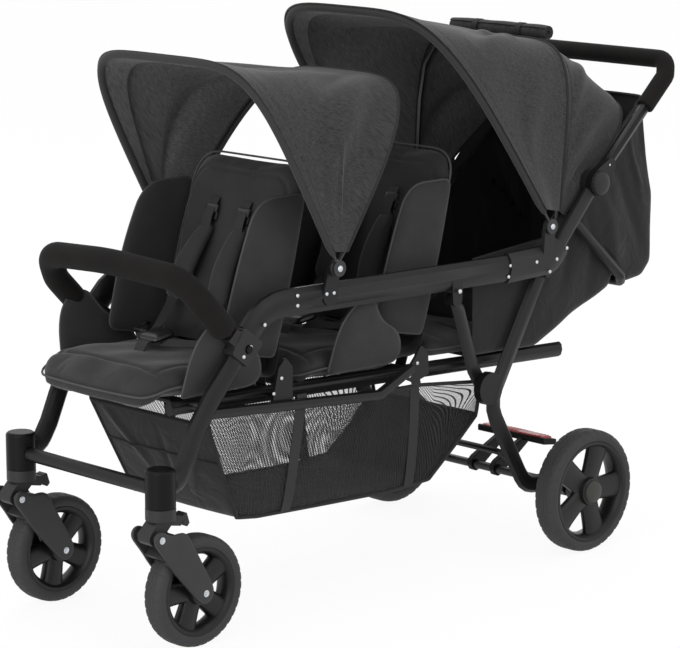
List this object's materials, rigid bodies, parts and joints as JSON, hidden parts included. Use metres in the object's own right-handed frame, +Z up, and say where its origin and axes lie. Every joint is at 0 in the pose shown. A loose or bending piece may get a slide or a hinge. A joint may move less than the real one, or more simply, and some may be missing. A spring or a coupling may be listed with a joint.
{
  "type": "stroller",
  "caption": "Triple tandem stroller with a folding oval-tube frame, swivel casters, reclining seats, hinged canopies, bumper bar, push handle, foot brake and under-seat basket.",
  "frame": {"origin": "on the ground under the middle of the stroller's bounding box", "axes": "+Z up, front of the stroller towards -Y, occupants' left towards +X"},
  "size_m": [0.5968, 1.3932, 1.0718],
  "materials": {
    "frame_tube": "satin black powder coat",
    "bracket": "fine textured black plastic",
    "plastic": "satin black plastic",
    "housing": "dark grey plastic",
    "foam": "matte closed-cell foam",
    "tyre": "matte tread",
    "rim": "satin black plastic",
    "seat_fabric": "padded woven polyester",
    "canopy_fabric": "charcoal melange weave",
    "basket_fabric": "coated polyester and mesh",
    "steel": "zinc plated",
    "pedal": "red over black"
  },
  "bodies": {
    "frame": {"side_rail_left": "frame_tube", "side_rail_right": "frame_tube", "front_bracket_left": "bracket", "front_bracket_right": "bracket", "front_leg_left": "frame_tube", "front_leg_right": "frame_tube", "caster_stem_left": "plastic", "caster_stem_right": "plastic", "front_crossbar": "frame_tube", "rear_bracket_left": "bracket", "rear_bracket_right": "bracket", "lower_rail_left": "frame_tube", "lower_rail_right": "frame_tube", "seat_frame": "frame_tube", "seat_1_pan": "seat_fabric", "seat_2_pan": "seat_fabric", "seat_3_pan": "seat_fabric", "rear_tub": "seat_fabric", "basket": "basket_fabric", "rear_canopy_mid_bow": "plastic", "rear_canopy_back": "canopy_fabric", "rear_canopy_hood": "canopy_fabric", "canopy_roll": "canopy_fabric"},
    "undercarriage": {"rear_leg_left": "frame_tube", "rear_leg_right": "frame_tube", "rear_strut_left": "frame_tube", "rear_strut_right": "frame_tube", "axle_tube": "frame_tube", "rear_axle": "steel"},
    "rear_wheel_left": {"rear_rim_left": "rim", "rear_tyre_left": "tyre"},
    "rear_wheel_right": {"rear_rim_right": "rim", "rear_tyre_right": "tyre"},
    "brake": {"brake_pedal": "pedal"},
    "pin_left": {"brake_pin_left": "steel"},
    "pin_right": {"brake_pin_right": "steel"},
    "handle": {"handle_tube": "frame_tube", "handle_grip": "foam"},
    "bumper": {"bumper_tube": "frame_tube", "bumper_grip": "foam"},
    "button_left": {"bumper_button_left": "plastic"},
    "button_right": {"bumper_button_right": "plastic"},
    "back_1": {"seat_1_back": "seat_fabric"},
    "back_2": {"seat_2_back": "seat_fabric"},
    "back_3": {"seat_3_back": "seat_fabric"},
    "recline": {"recline_bar": "frame_tube"},
    "front_canopy": {"front_canopy_rear_bow": "plastic", "front_canopy_cover": "canopy_fabric"},
    "front_canopy_brow": {"front_canopy_front_bow": "plastic"},
    "rear_canopy_brow": {"rear_canopy_front_bow": "plastic"},
    "caster_left": {"caster_housing_left": "housing"},
    "lock_left": {"caster_lock_left": "plastic"},
    "arm_left": {"caster_arm_left": "plastic"},
    "front_wheel_left": {"front_rim_left": "rim", "front_tyre_left": "tyre"},
    "caster_right": {"caster_housing_right": "housing"},
    "lock_right": {"caster_lock_right": "plastic"},
    "arm_right": {"caster_arm_right": "plastic"},
    "front_wheel_right": {"front_rim_right": "rim", "front_tyre_right": "tyre"}
  },
  "joints": [
    {"name": "rear_fold", "type": "hinge", "parent": "frame", "child": "undercarriage", "pos_m": [0, 0.05735, 0.531], "axis": [-1, 0, 0], "range_deg": [0, 38]},
    {"name": "rear_wheel_spin_left", "type": "hinge", "parent": "undercarriage", "child": "rear_wheel_left", "pos_m": [0.263, 0.36935, 0.12], "axis": [1, 0, 0], "continuous": true},
    {"name": "rear_wheel_spin_right", "type": "hinge", "parent": "undercarriage", "child": "rear_wheel_right", "pos_m": [-0.263, 0.36935, 0.12], "axis": [1, 0, 0], "continuous": true},
    {"name": "brake_press", "type": "hinge", "parent": "undercarriage", "child": "brake", "pos_m": [0, 0.36935, 0.12], "axis": [-1, 0, 0], "range_deg": [0, 15]},
    {"name": "brake_pin_slide_left", "type": "slide", "parent": "undercarriage", "child": "pin_left", "axis": [1, 0, 0], "range_m": [0, 0.03]},
    {"name": "brake_pin_slide_right", "type": "slide", "parent": "undercarriage", "child": "pin_right", "axis": [-1, 0, 0], "range_m": [0, 0.03]},
    {"name": "handle_swing", "type": "hinge", "parent": "frame", "child": "handle", "pos_m": [0, 0.45335, 0.71], "axis": [1, 0, 0], "range_deg": [-78, 25]},
    {"name": "bumper_pull", "type": "slide", "parent": "frame", "child": "bumper", "axis": [0, -0.6897, 0.7241], "range_m": [0, 0.12]},
    {"name": "bumper_button_press_left", "type": "slide", "parent": "frame", "child": "button_left", "axis": [-1, 0, 0], "range_m": [0, 0.002], "stiffness_N_per_m": 500, "springref_m": -0.002},
    {"name": "bumper_button_press_right", "type": "slide", "parent": "frame", "child": "button_right", "axis": [1, 0, 0], "range_m": [0, 0.002], "stiffness_N_per_m": 500, "springref_m": -0.002},
    {"name": "seat_1_recline", "type": "hinge", "parent": "frame", "child": "back_1", "pos_m": [0, -0.35765, 0.40962], "axis": [-1, 0, 0], "range_deg": [0, 18]},
    {"name": "seat_2_recline", "type": "hinge", "parent": "frame", "child": "back_2", "pos_m": [0, -0.00665, 0.39418], "axis": [-1, 0, 0], "range_deg": [0, 18]},
    {"name": "recline_bar_swing", "type": "hinge", "parent": "frame", "child": "recline", "pos_m": [0, 0.40135, 0.656], "axis": [1, 0, 0], "range_deg": [0, 40], "deforming": ["rear_tub"]},
    {"name": "seat_3_recline", "type": "hinge", "parent": "frame", "child": "back_3", "pos_m": [0, 0.31935, 0.399], "axis": [1, 0, 0], "range_deg": [0, 30]},
    {"name": "front_canopy_tilt", "type": "hinge", "parent": "frame", "child": "front_canopy", "pos_m": [0, -0.26465, 0.634], "axis": [1, 0, 0], "range_deg": [-20, 15]},
    {"name": "front_canopy_close", "type": "hinge", "parent": "front_canopy", "child": "front_canopy_brow", "pos_m": [0, -0.26465, 0.634], "axis": [-1, 0, 0], "range_deg": [0, 50], "deforming": ["front_canopy_cover"]},
    {"name": "rear_canopy_close", "type": "hinge", "parent": "frame", "child": "rear_canopy_brow", "pos_m": [0, 0.31135, 0.642], "axis": [-1, 0, 0], "range_deg": [0, 36], "deforming": ["rear_canopy_hood"]},
    {"name": "caster_swivel_left", "type": "hinge", "parent": "frame", "child": "caster_left", "pos_m": [0.1925, -0.65565, 0.262], "axis": [0, 0, 1], "continuous": true},
    {"name": "caster_lock_flip_left", "type": "hinge", "parent": "caster_left", "child": "lock_left", "pos_m": [0.1925, -0.60915, 0.244], "axis": [1, 0, 0], "range_deg": [0, 40]},
    {"name": "suspension_left", "type": "hinge", "parent": "caster_left", "child": "arm_left", "pos_m": [0.1925, -0.68165, 0.214], "axis": [1, 0, 0], "range_deg": [0, 6], "stiffness_Nm_per_rad": 80, "springref_deg": -6.88},
    {"name": "front_wheel_spin_left", "type": "hinge", "parent": "arm_left", "child": "front_wheel_left", "pos_m": [0.1925, -0.58265, 0.1], "axis": [1, 0, 0], "continuous": true},
    {"name": "caster_swivel_right", "type": "hinge", "parent": "frame", "child": "caster_right", "pos_m": [-0.1925, -0.65565, 0.262], "axis": [0, 0, 1], "continuous": true},
    {"name": "caster_lock_flip_right", "type": "hinge", "parent": "caster_right", "child": "lock_right", "pos_m": [-0.1925, -0.60915, 0.244], "axis": [1, 0, 0], "range_deg": [0, 40]},
    {"name": "suspension_right", "type": "hinge", "parent": "caster_right", "child": "arm_right", "pos_m": [-0.1925, -0.68165, 0.214], "axis": [1, 0, 0], "range_deg": [0, 6], "stiffness_Nm_per_rad": 80, "springref_deg": -6.88},
    {"name": "front_wheel_spin_right", "type": "hinge", "parent": "arm_right", "child": "front_wheel_right", "pos_m": [-0.1925, -0.58265, 0.1], "axis": [1, 0, 0], "continuous": true}
  ],
  "couplings": [
    {"joint": "brake_pin_slide_left", "follows": "brake_press", "m_per_rad": 0.1145},
    {"joint": "brake_pin_slide_right", "follows": "brake_press", "m_per_rad": 0.1145},
    {"joint": "seat_3_recline", "follows": "recline_bar_swing", "ratio": 0.74}
  ]
}
